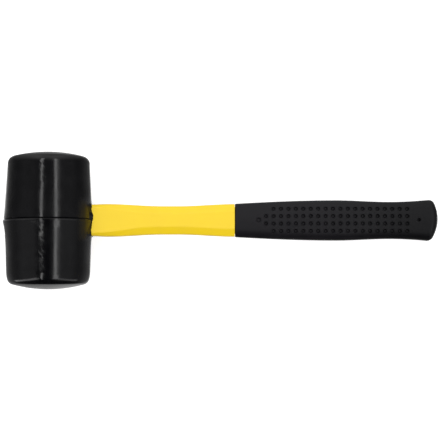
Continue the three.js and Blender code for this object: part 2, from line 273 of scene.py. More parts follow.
LOWER_RIM_SHARE = 0.4  # of the way down that fade, where its curve is pulled to
LOWER_FLARE_SHARES = (0.68, 0.18)  # of the lower barrel's draft and height, from the lip
LOWER_BARREL_SHARES = (0.75, 0.44)
UPPER_CROWN_RADIUS = 108
LOWER_CROWN_RADIUS = 104
HEAD_SIDES = 224
SEAM_GAP = 0.001  # points of the turned outline that are nearer than this are one
HEAD_WAVINESS = 0.12  # of the barrel, where the rubber shrank unevenly
HEAD_WAVE_LENGTH = 16
HEAD_SHARP_ANGLE = radians(24)  # between faces that meet in an edge
SHARP_ANGLE = radians(38)  # on all other pieces
HEAD_SHIFT = 0.35  # the head is bonded on this much nearer to the grip than the record says
CLEARANCE = 0.3  # between neighbouring pieces
CORNER_ROUNDING = 0.8
CORNER_STEPS = 5
EDGE_STEPS = 4
FACE_STEPS = 16
ROUNDED_SHARE = 0.45  # of an edge, the most that the rounding of each corner takes up
TANG_HEIGHT = 24.4
TANG_BEVEL_WIDTH = 2
TANG_BEVEL_SHARE = 0.24  # of half the tang's thickness
EYE_CUT_REACH = 40  # past the barrel on both sides
COLLAR_STEPS = (  # station, how far the ring stands out round the tang, share of the waves
    (24, 8, 0), (31.5, 4.4, 0), (32.6, 2.7, 0.2), (33.4, 1.35, 0.6), (33.9, 0.55, 0.85),
    (34.2, 0.1, 1),
)
COLLAR_SIDE_SHARE = 0.3  # of that, past the tang's narrow sides
COLLAR_BUMP = 1.35  # where rubber was squeezed out along the handle at the lip
COLLAR_BUMP_AT = 2.2  # to the photograph's upper side
COLLAR_BUMP_WIDTH = 4.2
COLLAR_WAVE = 0.35  # of its uneven edge
COLLAR_WAVE_TURNS = ((1.9, 0, 0.7), (0.83, 0.6, 0))  # radians per mm across and out, and start


def bend(*pulls, steps):
    """Points along a Bezier curve of any degree, without its first point."""
    curve = []
    for step in range(1, steps + 1):
        held = [Vector(pull) for pull in pulls]
        while len(held) > 1:
            held = [near.lerp(far, step / steps) for near, far in zip(held, held[1:])]
        curve.append(held[0])
    return curve


def head_outline():
    """Half outline of the head as radius and height, from the lower crown up to the upper one."""
    def upper_crown(radius):
        """The point of the upper face at a radius."""
        return Vector((radius, UPPER_HEIGHT - radius ** 2 / (2 * UPPER_CROWN_RADIUS)))

    def lower_crown(radius):
        """The point of the lower face at a radius."""
        return Vector((radius, radius ** 2 / (2 * LOWER_CROWN_RADIUS) - LOWER_HEIGHT))

    lower_rim = lower_crown(LIP_RADIUS - LOWER_DRAFT)
    lower_face = lower_crown(lower_rim.x - LOWER_RIM_ROUNDING)
    barrel, flare = (
        Vector((LIP_RADIUS - LOWER_DRAFT * draft_share, lower_rim.y * height_share))
        for draft_share, height_share in (LOWER_BARREL_SHARES, LOWER_FLARE_SHARES)
    )
    lower_wall = lower_rim + (barrel - lower_rim).normalized() * LOWER_RIM_FADE
    lower_bend = lower_rim.lerp(lower_wall, LOWER_RIM_SHARE)
    upper_foot = Vector((LIP_RADIUS - LIP_WIDTH, GROOVE_HEIGHT))
    groove = Vector((upper_foot.x - GROOVE_DEPTH, GROOVE_HEIGHT / 3))
    upper_rim = upper_crown(upper_foot.x - UPPER_DRAFT)
    upper_face = upper_crown(upper_rim.x - UPPER_RIM_ROUNDING)
    upper_wall = upper_rim - Vector((0, UPPER_RIM_FADE))
    hollow = upper_foot.lerp(upper_rim, UPPER_HOLLOW_SHARE) - Vector((UPPER_HOLLOW, 0))
    lip_foot = Vector((LIP_RADIUS, -LIP_FACE - LIP_ROUNDING))
    lip_edge = Vector((LIP_RADIUS, -LIP_ROUNDING))
    lip_top = Vector((LIP_RADIUS, 0))
    outline = [Vector((0, -LOWER_HEIGHT))]
    outline += bend(outline[-1], (lower_face.x / 2, -LOWER_HEIGHT), lower_face, steps=20)
    outline += bend(outline[-1], lower_rim, lower_bend, lower_wall, steps=14)
    outline += bend(outline[-1], barrel, flare, lip_foot, steps=34)
    outline += bend(outline[-1], lip_edge, steps=3)
    outline += bend(outline[-1], lip_top, lip_top.lerp(groove, LIP_FALL), steps=6)
    outline += bend(outline[-1], groove, steps=2)
    outline += bend(outline[-1], upper_foot, steps=2)
    outline += bend(outline[-1], hollow, upper_wall, steps=34)
    outline += bend(outline[-1], upper_rim, upper_face, steps=12)
    outline += bend(outline[-1], (upper_face.x / 2, UPPER_HEIGHT), (0, UPPER_HEIGHT), steps=20)
    return outline


def new_piece(name, points, edges=(), faces=()):
    """An object in the scene with a mesh of points in millimetres of the straight mallet."""
    mesh = bpy.data.meshes.new(name)
    mesh.from_pydata([Vector(point).to_3d() * MM for point in points], edges, faces)
    made = bpy.data.objects.new(name, mesh)
    bpy.context.scene.collection.objects.link(made)
    return made


def set_plain(made, sharp_angle=SHARP_ANGLE):
    """Turns what an object's modifiers make into its own plain mesh, smooth up to an angle."""
    shaped = made.evaluated_get(bpy.context.evaluated_depsgraph_get())
    made.data = bpy.data.meshes.new_from_object(shaped)
    made.modifiers.clear()
    made.data.shade_smooth()
    made.data.set_sharp_from_angle(angle=sharp_angle)


def give_finish(made, finish):
    """Makes one material an object's only one."""
    made.data.materials.clear()
    made.data.materials.append(finish)
    made.data.polygons.foreach_set("material_index", [0] * len(made.data.polygons))


def cut_with(made, operation, tool, sharp_angle=SHARP_ANGLE):
    """Joins a tool to an object or cuts it out of it, and removes the tool."""
    step = made.modifiers.new(operation, "BOOLEAN")
    step.operation = operation
    step.solver = "MANIFOLD"
    step.object = tool
    set_plain(made, sharp_angle)
    bpy.data.objects.remove(tool)


def skin(name, rings):
    """A closed skin over rings of points that follow each other along +X."""
    size = len(rings[0])
    points = [point for ring in rings for point in ring]
    faces = []
    for start in range(0, len(points) - size, size):
        for side in range(size):
            near, near_next = start + side, start + (side + 1) % size
            faces.append((near, near_next, near_next + size, near + size))
    for ring, start in ((rings[0], 0), (rings[-1], len(points) - size)):
        middle = len(points)
        points.append(sum(ring, Vector((0, 0, 0))) / size)
        for side in range(size):
            near, near_next = start + side, start + (side + 1) % size
            faces.append((middle, near_next, near) if start == 0 else (middle, near, near_next))
    return new_piece(name, points, faces=faces)


def section(height, thickness, bevel_width, bevel_share, rounding, crown=0):
    """An upright eight-sided section of the handle with softened corners, as across and out."""
    side, half = height / 2, thickness / 2
    flat, shoulder = side - bevel_width, half - crown
    band = shoulder - bevel_share * half
    upper = [(side, band), (flat, shoulder), (-flat, shoulder), (-side, band)]
    corners = [Vector(corner) for corner in upper] + [-Vector(corner) for corner in upper]

    def crowned(point):
        """Lifts a point of a broad face onto its crown."""
        point.y = (half - crown * (point.x / flat) ** 2) * (1 if point.y > 0 else -1)
        return point

    def beside(corner, other):
        """The point of an edge where the rounding of its corner starts."""
        edge = other - corner
        point = corner + edge.normalized() * min(rounding, ROUNDED_SHARE * edge.length)
        return crowned(point) if crown and corner.y == other.y else point

    outline = []
    for number, corner in enumerate(corners):
        before, after = corners[number - 1], corners[(number + 1) % len(corners)]
        start, end = beside(corner, before), beside(corner, after)
        outline += [start] + bend(start, corner, end, steps=CORNER_STEPS)
        far = beside(after, corner)
        broad = number % 4 == 1
        steps = FACE_STEPS if broad else EDGE_STEPS
        for step in range(1, steps):
            point = end.lerp(far, step / steps)
            outline.append(crowned(point) if broad and crown else point)
    return outline


def at_station(station, outline):
    """Stands a section's outline up at a station along the handle."""
    return [Vector((station, across, out)) for across, out in outline]


def tang_section(allowance):
    """The tang's outline, grown on all sides by an allowance."""
    return section(
        TANG_HEIGHT + 2 * allowance, SHAFT_THICKNESS + 2 * allowance,
        TANG_BEVEL_WIDTH, TANG_BEVEL_SHARE, CORNER_ROUNDING,
    )


def collar_rings():
    """Rings of the collar, which swells out of the barrel and ends in a thin wavy edge."""
    half = SHAFT_THICKNESS / 2
    rings = []
    for station, spread_out, wave_share in COLLAR_STEPS:
        ring = []
        side_spread = CLEARANCE + spread_out * COLLAR_SIDE_SHARE
        deepening = (half + CLEARANCE + spread_out) / (half + side_spread)
        for point in at_station(station, tang_section(side_spread)):
            point.z *= deepening
            across = (point.y - COLLAR_BUMP_AT) / COLLAR_BUMP_WIDTH
            waves = [
                sin(point.y * by_across + point.z * by_out + start)
                for by_across, by_out, start in COLLAR_WAVE_TURNS
            ]
            rise = COLLAR_BUMP / (1 + across ** 4) + COLLAR_WAVE * sum(waves) / len(waves)
            ring.append(point + Vector((rise * wave_share, 0, 0)))
        rings.append(ring)
    return rings


def revolve_tree():
    """Geometry Nodes that turn a half outline, as radius and height, round the Y axis."""
    tree = bpy.data.node_groups.new("turn_outline_round_axis", "GeometryNodeTree")
    face = tree.interface
    face.new_socket("Geometry", in_out="INPUT", socket_type="NodeSocketGeometry")
    face.new_socket("Sides", in_out="INPUT", socket_type="NodeSocketInt")
    face.new_socket("Waviness", in_out="INPUT", socket_type="NodeSocketFloat")
    face.new_socket("Wave Length", in_out="INPUT", socket_type="NodeSocketFloat")
    face.new_socket("Finish", in_out="INPUT", socket_type="NodeSocketMaterial")
    face.new_socket("Geometry", in_out="OUTPUT", socket_type="NodeSocketGeometry")
    given = add(tree, "NodeGroupInput").outputs

    count = add(tree, "GeometryNodeAttributeDomainSize", {"Geometry": given["Geometry"]})
    columns = maths(tree, "ADD", given["Sides"], 1)
    grid = add(tree, "GeometryNodeMeshGrid", {
        "Vertices X": count.outputs["Point Count"], "Vertices Y": columns,
    })
    index = add(tree, "GeometryNodeInputIndex").outputs[0]
    row = maths(tree, "ADD", index, 0.5)
    row = maths(tree, "FLOOR", maths(tree, "DIVIDE", row, columns))
    column = maths(tree, "SUBTRACT", index, maths(tree, "MULTIPLY", row, columns))
    angle = maths(tree, "MULTIPLY", maths(tree, "DIVIDE", column, given["Sides"]), tau)
    place = add(tree, "GeometryNodeInputPosition").outputs[0]
    sampled = add(tree, "GeometryNodeSampleIndex", {
        "Geometry": given["Geometry"], "Value": place, "Index": row,
    }, data_type="FLOAT_VECTOR")
    radius, height = add(tree, "ShaderNodeSeparateXYZ", {0: sampled.outputs[0]}).outputs[:2]
    turned = add(tree, "ShaderNodeCombineXYZ", {
        "X": maths(tree, "MULTIPLY", radius, maths(tree, "COSINE", angle)),
        "Y": height,
        "Z": maths(tree, "MULTIPLY", radius, maths(tree, "SINE", angle)),
    })
    laid = add(tree, "GeometryNodeSetPosition", {
        "Geometry": grid.outputs["Mesh"], "Position": turned.outputs[0],
    })
    closed = add(tree, "GeometryNodeMergeByDistance", {
        "Geometry": laid.outputs[0], "Distance": SEAM_GAP * MM,
    })
    scale = maths(tree, "DIVIDE", 1, given["Wave Length"])
    waves = add(tree, "ShaderNodeTexNoise", {"Vector": place, "Scale": scale, "Detail": 1.0})
    rise = maths(tree, "SUBTRACT", waves.outputs[0], 0.5)
    rise = maths(tree, "MULTIPLY", rise, given["Waviness"])
    outward = add(tree, "GeometryNodeInputNormal").outputs[0]
    offset = add(tree, "ShaderNodeVectorMath", {0: outward, "Scale": rise}, operation="SCALE")
    wavy = add(tree, "GeometryNodeSetPosition", {
        "Geometry": closed.outputs[0], "Offset": offset.outputs[0],
    })
    real = add(tree, "GeometryNodeRealizeInstances", {0: wavy.outputs[0]})
    finished = add(tree, "GeometryNodeSetMaterial", {
        "Geometry": real.outputs[0], "Material": given["Finish"],
    })
    add(tree, "NodeGroupOutput", {0: finished.outputs[0]})
    return tree


def apply_tree(made, tree, values):
    """Runs a Geometry Nodes tree on an object with named values, and keeps the plain result."""
    step = made.modifiers.new(tree.name, "NODES")
    step.node_group = tree
    for socket in tree.interface.items_tree:
        if socket.in_out == "INPUT" and socket.name in values:
            step[socket.identifier] = values[socket.name]
    set_plain(made)


def spots(tree, place, size, detail, distortion=0.0):
    """A noise from 0 to 1 whose spots are about as wide as a size in millimetres."""
    return add(tree, "ShaderNodeTexNoise", {
        "Vector": place, "Scale": 1 / (size * MM), "Detail": detail, "Distortion": distortion,
    }).outputs[0]


def blend(tree, share, first, second):
    """A colour on the way from one sRGB hex value to another."""
    return add(tree, "ShaderNodeMix", {
        0: share, 6: colour(first), 7: colour(second),
    }, data_type="RGBA").outputs[2]


def bump(tree, depth, height, over=None):
    """The normal of a relief some millimetres deep, on top of another one where it is given."""
    relief = {"Strength": 1.0, "Distance": depth * MM, "Height": height}
    if over is not None:
        relief["Normal"] = over
    return add(tree, "ShaderNodeBump", relief).outputs[0]


def straight_place(tree, place):
    """Where a point of the object is on the straight mallet, in metres."""
    return add(tree, "ShaderNodeMapping", {
        "Vector": place, "Rotation": straightened.to_euler(), "Location": straightened.translation,
    }).outputs[0]


# Vulcanised carbon-black rubber, from a polished mould: deep black and glossy, with duller smears
# where it was handled and round the handle. The rubber met from both sides as it filled the
# mould, which left a band of wavy flow marks and slanting creases along the lower barrel.
RUBBER_BLACK = "#040405"
RUBBER_SMEAR = "#08080a"
RUBBER_DULLNESS = (0.12, 0.19)
SMEAR_SIZE = 9
SMEAR_SPREAD = (0.35, 0.7)  # of the noise that makes them
HANDLE_DULLNESS = 0.35  # added beside the handle
DULL_ACROSS = (18 * MM, 11 * MM)  # from where to where that grows, off the handle's axis
DULL_ALONG = (24 * MM, 29 * MM)  # the same, along the handle's axis
DULL_END = (30 * MM, 33 * MM)  # from where to where it falls again, towards the collar's edge
DULL_END_SHARE = 0.2
FLOW_MARK_SIZE = 7
FLOW_MARK_DEPTH = 0.2
FLOW_MARK_SHARES = (  # share of the lower height, share of the depth
    (-1, 0.6), (-0.8, 0.6), (-0.58, 0.65), (-0.07, 0.65), (-0.03, 0.12), (0.37, 0.08),
    (0.46, 0.5), (0.8, 0.5),
)
FLOW_MARK_SWIRL = 0.8
FLOW_LEAN = radians(-45)
FLOW_BAND_AT = -0.7  # off the middle of the barrel, along the handle
FLOW_BAND_WIDTH = 6
FLOW_BAND_REST = 0.12  # share of the depth away from the band
CREASE_SPACING = 4.4
CREASE_DEPTH = 0.042
CREASE_SHARPNESS = 5
CREASE_SWIRL = 2.5
WAVE_NODE_PERIOD = tau / 20  # of a Wave Texture at scale 1
PORE_SIZE = 0.7  # real pores are about 0.1 mm, too fine to show
PORE_DEPTH = 0.004

head_rubber, tree = new_finish("vulcanised_rubber_moulded")
place = add(tree, "ShaderNodeTexCoord").outputs["Object"]
straight = straight_place(tree, place)
along, across = add(tree, "ShaderNodeSeparateXYZ", {"Vector": straight}).outputs[:2]

smears = spots(tree, place, SMEAR_SIZE, detail=3.0)
tint = blend(tree, smears, RUBBER_BLACK, RUBBER_SMEAR)
dullness = mapped(tree, smears, SMEAR_SPREAD, RUBBER_DULLNESS)
off_axis = maths(tree, "ABSOLUTE", across)
dull_across = mapped(tree, off_axis, DULL_ACROSS, (0.0, HANDLE_DULLNESS))
dull_end = mapped(tree, along, DULL_END, (1.0, DULL_END_SHARE))
dull_along = maths(tree, "MULTIPLY", mapped(tree, along, DULL_ALONG), dull_end)
dullness = maths(tree, "MULTIPLY_ADD", dull_along, dull_across, dullness)

off_band = maths(tree, "ABSOLUTE", maths(tree, "SUBTRACT", along, FLOW_BAND_AT * MM))
band_edge = (FLOW_BAND_WIDTH / 2 * MM, FLOW_BAND_WIDTH * MM)
band = mapped(tree, off_band, band_edge, (1.0, FLOW_BAND_REST), curve="SMOOTHSTEP")
height = maths(tree, "DIVIDE", across, LOWER_HEIGHT * MM)
strength = maths(tree, "MULTIPLY", band, greys_by(tree, height, FLOW_MARK_SHARES))
leaned = add(tree, "ShaderNodeMapping", {
    "Vector": straight, "Rotation": (0, 0, FLOW_LEAN),
}).outputs[0]
flow = spots(tree, leaned, FLOW_MARK_SIZE, detail=0.0, distortion=FLOW_MARK_SWIRL)
wave = add(tree, "ShaderNodeTexWave", {
    "Vector": leaned, "Scale": WAVE_NODE_PERIOD / (CREASE_SPACING * MM),
    "Distortion": CREASE_SWIRL, "Detail": 0.0, "Detail Scale": 1.5,
})
crease = maths(tree, "POWER", wave.outputs["Fac"], CREASE_SHARPNESS)
crease_share = CREASE_DEPTH / FLOW_MARK_DEPTH
folds = maths(tree, "MULTIPLY_ADD", crease, crease_share, maths(tree, "SUBTRACT", flow, 0.5))
waves = bump(tree, FLOW_MARK_DEPTH, maths(tree, "MULTIPLY", folds, strength))
grain = bump(tree, PORE_DEPTH, spots(tree, place, PORE_SIZE, detail=2.0), over=waves)
shader = add(tree, "ShaderNodeBsdfPrincipled", {
    "Base Color": tint, "Roughness": dullness, "IOR": 1.4, "Normal": grain,
})
add(tree, "ShaderNodeOutputMaterial", {"Surface": shader.outputs[0]})

half_outline = head_outline()
outline_edges = [(number, number + 1) for number in range(len(half_outline) - 1)]
head = new_piece("moulded_head", half_outline, edges=outline_edges)
apply_tree(head, revolve_tree(), {
    "Sides": HEAD_SIDES, "Waviness": HEAD_WAVINESS * MM, "Wave Length": HEAD_WAVE_LENGTH * MM,
    "Finish": head_rubber,
})
cut_with(head, "UNION", skin("collar", collar_rings()), HEAD_SHARP_ANGLE)
eye_outline = tang_section(CLEARANCE)
eye_ends = [at_station(station, eye_outline) for station in (-EYE_CUT_REACH, EYE_CUT_REACH)]
cut_with(head, "DIFFERENCE", skin("eye", eye_ends), HEAD_SHARP_ANGLE)
give_finish(head, head_rubber)
head_place = lying @ Matrix.Translation((HEAD_SHIFT * MM, 0, 0))
head.data.transform(head_place)
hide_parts("rubber_head")
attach(head, "root")


# Eye adhesive. Amber epoxy, poured in through the far mouth of the head's eye behind the tang,
# where it cured as a plug. It crept up the rubber round its edge and sank in the middle.
TANG_END = 29.5
PLUG_THICKNESS = 2
PLUG_RIM_RISE = 0.7  # where it crept up
PLUG_SINK = 0.35
PLUG_FIT = 0.26  # how far it stands out past the tang's outline
PLUG_RING_SHARES = (0.25, 0.5, 0.7, 0.85, 0.95, 1)
PLUG_CREEP_POWER = 6  # how steeply it rises at its edge

# Cured epoxy: clear amber gone cloudy with its hardener, glossy where it set in the open.
RESIN_AMBER = "#5a3910"
RESIN_CLOUD = "#80571e"
RESIN_CLOUD_SIZE = 6
RESIN_DULLNESS = (0.1, 0.22)
RESIN_RIPPLE_DEPTH = 0.06
CLOUD_SPREAD = (0.3, 0.7)  # what most of a noise lies between

resin, tree = new_finish("epoxy_resin_cured")
place = add(tree, "ShaderNodeTexCoord").outputs["Object"]
clouds = spots(tree, place, RESIN_CLOUD_SIZE, detail=3.0)
shader = add(tree, "ShaderNodeBsdfPrincipled", {
    "Base Color": blend(tree, clouds, RESIN_AMBER, RESIN_CLOUD),
    "Roughness": mapped(tree, clouds, CLOUD_SPREAD, RESIN_DULLNESS),
    "IOR": 1.56,
    "Normal": bump(tree, RESIN_RIPPLE_DEPTH, clouds),
})
add(tree, "ShaderNodeOutputMaterial", {"Surface": shader.outputs[0]})

plug_outline = tang_section(PLUG_FIT)
plug_rings = []
plug_middle = -TANG_END - CLEARANCE - PLUG_THICKNESS + PLUG_SINK
for share in PLUG_RING_SHARES:
    ring_at = plug_middle - (PLUG_SINK + PLUG_RIM_RISE) * share ** PLUG_CREEP_POWER
    plug_rings.append(at_station(ring_at, [point * share for point in plug_outline]))
plug_rings.append(at_station(-TANG_END - CLEARANCE, plug_outline))
plug = skin("resin_plug", plug_rings)
give_finish(plug, resin)
set_plain(plug)
plug.data.transform(head_place)
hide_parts("eye_adhesive")
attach(plug, "root")


# Handle jacket. Yellow polypropylene, injection moulded over the glass-fibre rod: the tang in the
# head's eye, the bare waisted shaft with its bevelled edges, and a stepped part under the grip.
TANG_EVEN_TO = LIP_RADIUS - 4  # the tang runs straight up to here
SWELL_HEIGHT = 25.1
SWELL_AT = 47.05
WAIST_HEIGHT = 21.8
WAIST_LENGTH = 12
SHOULDER_HEIGHT = 25.2
SHAFT_BEVEL_WIDTH = 5.8
SHAFT_BEVEL_SHARE = 0.4
BEVEL_REACH = 36.5  # from the lip's radius to where the bevel is at its widest
SHAFT_STEPS = 112
GRIP_START = 146
GRIP_END = 304.05
GRIP_WALL = 2.6
GRIP_END_WALL = 10
GRIP_LIP = 0.5  # how far the grip's mouth stands proud of the shaft
CORE_DIAMETER = 10
CORE_END = 286.05
CORE_SIDES = 48
BORE_OVERRUN = 2  # past the tang's end, so that the cut is clean
JACKET_END = GRIP_END - GRIP_END_WALL
GRIP_BEVEL_WIDTH = 3.2
GRIP_BEVEL_SHARE = 0.42
GRIP_FACE_CROWN = 2.2
GRIP_CORNER_ROUNDING = 2.4
GRIP_HEIGHTS = (SHOULDER_HEIGHT + 2 * GRIP_LIP, 31.3, 28.8, 31.8)  # mouth, belly, neck, flare
GRIP_THICKNESSES = (SHAFT_THICKNESS + 2 * GRIP_LIP, 24, 22.4, 25.4)
GRIP_BELLY_AT = 225
NECK_SETBACK = 30.3  # from the flare back to the neck
END_CROWN_RADIUS = 27
END_CROWN_OFFSET = 1.2  # to the photograph's upper side
END_ROUNDING = 2.4
UNDER_GRIP_LEAD = 15  # the stepped part runs straight over its first length
UNDER_GRIP_STEPS = 20


def smooth(value, start, end):
    """A share from 0 to 1 that rises smoothly as a value passes from a start to an end."""
    share = min(max((value - start) / (end - start), 0), 1)
    return share * share * (3 - 2 * share)


def spread(start, end, steps):
    """Even stations from one end to another, both included."""
    return [start + (end - start) * step / steps for step in range(steps + 1)]


def shaft_section(station):
    """The bare shaft's outline: a swell in front of the head, a waist, and a shoulder."""
    waist_start, waist_end = WAIST_AT - WAIST_LENGTH / 2, WAIST_AT + WAIST_LENGTH / 2
    height = TANG_HEIGHT
    height += (SWELL_HEIGHT - TANG_HEIGHT) * smooth(station, LIP_RADIUS, SWELL_AT)
    height -= (SWELL_HEIGHT - WAIST_HEIGHT) * smooth(station, SWELL_AT, waist_start)
    height += (SHOULDER_HEIGHT - WAIST_HEIGHT) * smooth(station, waist_end, GRIP_START)
    opening = min(max((station - LIP_RADIUS) / BEVEL_REACH, 0), 1)
    bevel_width = TANG_BEVEL_WIDTH + (SHAFT_BEVEL_WIDTH - TANG_BEVEL_WIDTH) * opening
    bevel_share = TANG_BEVEL_SHARE + (SHAFT_BEVEL_SHARE - TANG_BEVEL_SHARE) * opening
    return section(height, SHAFT_THICKNESS, bevel_width, bevel_share, CORNER_ROUNDING)


def end_crown(across, out):
    """Where the grip's crowned end is over a point of the section."""
    return GRIP_END - ((across - END_CROWN_OFFSET) ** 2 + out ** 2) / (2 * END_CROWN_RADIUS)


FLARE_AT = end_crown(-GRIP_HEIGHTS[3] / 2, 0) - END_ROUNDING
NECK_AT = FLARE_AT - NECK_SETBACK


def grip_section(station, inset=0):
    """The grip's outline at a station, drawn in on all sides by an inset."""
    sizes = []
    for mouth, belly, neck, flare in (GRIP_HEIGHTS, GRIP_THICKNESSES):
        to_belly = min(max((station - GRIP_START) / (GRIP_BELLY_AT - GRIP_START), 0), 1)
        to_flare = min(max((station - NECK_AT) / (FLARE_AT - NECK_AT), 0), 1)
        size = mouth + (belly - mouth) * sin(to_belly * pi / 2)
        size -= (belly - neck) * smooth(station, GRIP_BELLY_AT, NECK_AT)
        sizes.append(size + (flare - neck) * to_flare ** 2 - 2 * inset)
    return section(
        *sizes, GRIP_BEVEL_WIDTH, GRIP_BEVEL_SHARE, GRIP_CORNER_ROUNDING, crown=GRIP_FACE_CROWN,
    )


def under_grip_rings(start, allowance):
    """Rings of the jacket's stepped part under the grip, grown on all sides by an allowance."""
    inset = GRIP_WALL - allowance
    rings = [at_station(start, grip_section(GRIP_START, inset))]
    even_from = GRIP_START + UNDER_GRIP_LEAD
    for station in spread(even_from, JACKET_END + allowance, UNDER_GRIP_STEPS):
        rings.append(at_station(station, grip_section(station, inset)))
    return rings


def core_bar(name, start, end, diameter):
    """A round bar where the core lies in the handle."""
    turns = [tau * side / CORE_SIDES for side in range(CORE_SIDES)]
    circle = [Vector((cos(turn), sin(turn))) * diameter / 2 for turn in turns]
    return skin(name, [at_station(start, circle), at_station(end, circle)])


# Polypropylene from a satin mould: bright yellow all through, evenly half glossy, with the faint
# waves of a thick wall as it shrank and fine marks of handling.
JACKET_YELLOW = "#dabb10"
JACKET_SHADE = "#d4b30a"
JACKET_DULLNESS = (0.36, 0.44)
SHRINK_WAVE_SIZE = 14
SHRINK_WAVE_DEPTH = 0.05
SATIN_GRAIN_SIZE = 0.6  # the real grain is about 0.05 mm, too fine to show
SATIN_GRAIN_DEPTH = 0.01

jacket_plastic, tree = new_finish("polypropylene_injection_moulded")
place = add(tree, "ShaderNodeTexCoord").outputs["Object"]
clouds = spots(tree, place, SHRINK_WAVE_SIZE, detail=2.0)
satin = spots(tree, place, SATIN_GRAIN_SIZE, detail=2.0)
waves = bump(tree, SHRINK_WAVE_DEPTH, clouds)
shader = add(tree, "ShaderNodeBsdfPrincipled", {
    "Base Color": blend(tree, clouds, JACKET_YELLOW, JACKET_SHADE),
    "Roughness": mapped(tree, clouds, CLOUD_SPREAD, JACKET_DULLNESS),
    "IOR": 1.49,
    "Normal": bump(tree, SATIN_GRAIN_DEPTH, satin, over=waves),
})
add(tree, "ShaderNodeOutputMaterial", {"Surface": shader.outputs[0]})

shoulder_at = GRIP_START - CLEARANCE
jacket_rings = [at_station(-TANG_END, shaft_section(-TANG_END))]
for station in spread(TANG_EVEN_TO, shoulder_at, SHAFT_STEPS):
    jacket_rings.append(at_station(station, shaft_section(station)))
jacket = skin("moulded_jacket", jacket_rings + under_grip_rings(shoulder_at, 0))
bore_diameter = CORE_DIAMETER + 2 * CLEARANCE
bore = core_bar("bore", -TANG_END - BORE_OVERRUN, CORE_END + CLEARANCE, bore_diameter)
cut_with(jacket, "DIFFERENCE", bore)
give_finish(jacket, jacket_plastic)
jacket.data.transform(lying)
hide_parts("handle_jacket")
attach(jacket, "root")


# Fibreglass core. A pultruded rod of glass fibre in polyester, sawn to length, which the jacket is
# moulded over. Only its sawn end shows, and only while the resin plug is out.

# Pultruded glass fibre: pale straw, dull, with fine streaks where the bundles of fibre lie.
FIBRE_STRAW = "#d9cfa6"
FIBRE_DARK = "#b9aa7c"
BUNDLE_WIDTH = 0.8
BUNDLE_LENGTH = 30
BUNDLE_RISE = 0.05

glass_fibre, tree = new_finish("glass_fibre_pultruded")
place = add(tree, "ShaderNodeTexCoord").outputs["Object"]
drawn_out = add(tree, "ShaderNodeMapping", {
    "Vector": straight_place(tree, place), "Scale": (BUNDLE_WIDTH / BUNDLE_LENGTH, 1, 1),
})
bundles = spots(tree, drawn_out.outputs[0], BUNDLE_WIDTH, detail=4.0)
shader = add(tree, "ShaderNodeBsdfPrincipled", {
    "Base Color": blend(tree, bundles, FIBRE_DARK, FIBRE_STRAW),
    "Roughness": 0.55, "IOR": 1.55,
    "Normal": bump(tree, BUNDLE_RISE, bundles),
})
add(tree, "ShaderNodeOutputMaterial", {"Surface": shader.outputs[0]})

for slot in frame["nodes"]["fibreglass_core"].material_slots:
    slot.material = glass_fibre


# Grip sleeve. Soft black thermoplastic rubber, moulded over the stepped part of the jacket. Rows
# of round dimples are pressed into both broad faces, and a pin that held the handle in the mould
# left a small hole near the flared end.
MOUTH_ROUNDING = 0.8
ROUNDING_STEPS = 6
GRIP_STEPS = 140
END_CROWN_SHARES = (0.9, 0.78, 0.64, 0.48, 0.3, 0.12)
CAVITY_OVERRUN = 2  # past the grip's mouth, so that the cut is clean
DIMPLE_PITCH = 5.745
DIMPLE_DIAMETER = 3.4
DIMPLE_DEPTH = 1.9
LEAD_DIMPLE_DIAMETER = 4
LEAD_DIMPLE_DEPTH = 1.6
DIMPLE_ROWS = 4
FIRST_COLUMN_AT = 175.8
DIMPLE_MARGIN = 16  # least length left bare between the last column and the flare
PIN_HOLE_DIAMETER = 2.9
PIN_HOLE_DEPTH = 2.15
PIN_HOLE_AT = FLARE_AT - 8


def grip_rings():
    """Rings of the grip's outer skin, from its rounded mouth to its crowned end."""
    turns = spread(0, pi / 2, ROUNDING_STEPS)
    rings = []
    for turn in turns:
        station = GRIP_START + MOUTH_ROUNDING * (1 - cos(turn))
        rings.append(at_station(station, grip_section(station, MOUTH_ROUNDING * (1 - sin(turn)))))
    for station in spread(GRIP_START + MOUTH_ROUNDING, FLARE_AT, GRIP_STEPS)[1:-1]:
        rings.append(at_station(station, grip_section(station)))
    for turn in turns:
        outline = grip_section(FLARE_AT, END_ROUNDING * (1 - cos(turn)))
        setback = END_ROUNDING * (1 - sin(turn))
        rings.append([Vector((end_crown(*point) - setback, *point)) for point in outline])
    rim = grip_section(FLARE_AT, END_ROUNDING)
    for share in END_CROWN_SHARES:
        rings.append([Vector((end_crown(*(point * share)), *(point * share))) for point in rim])
    return rings


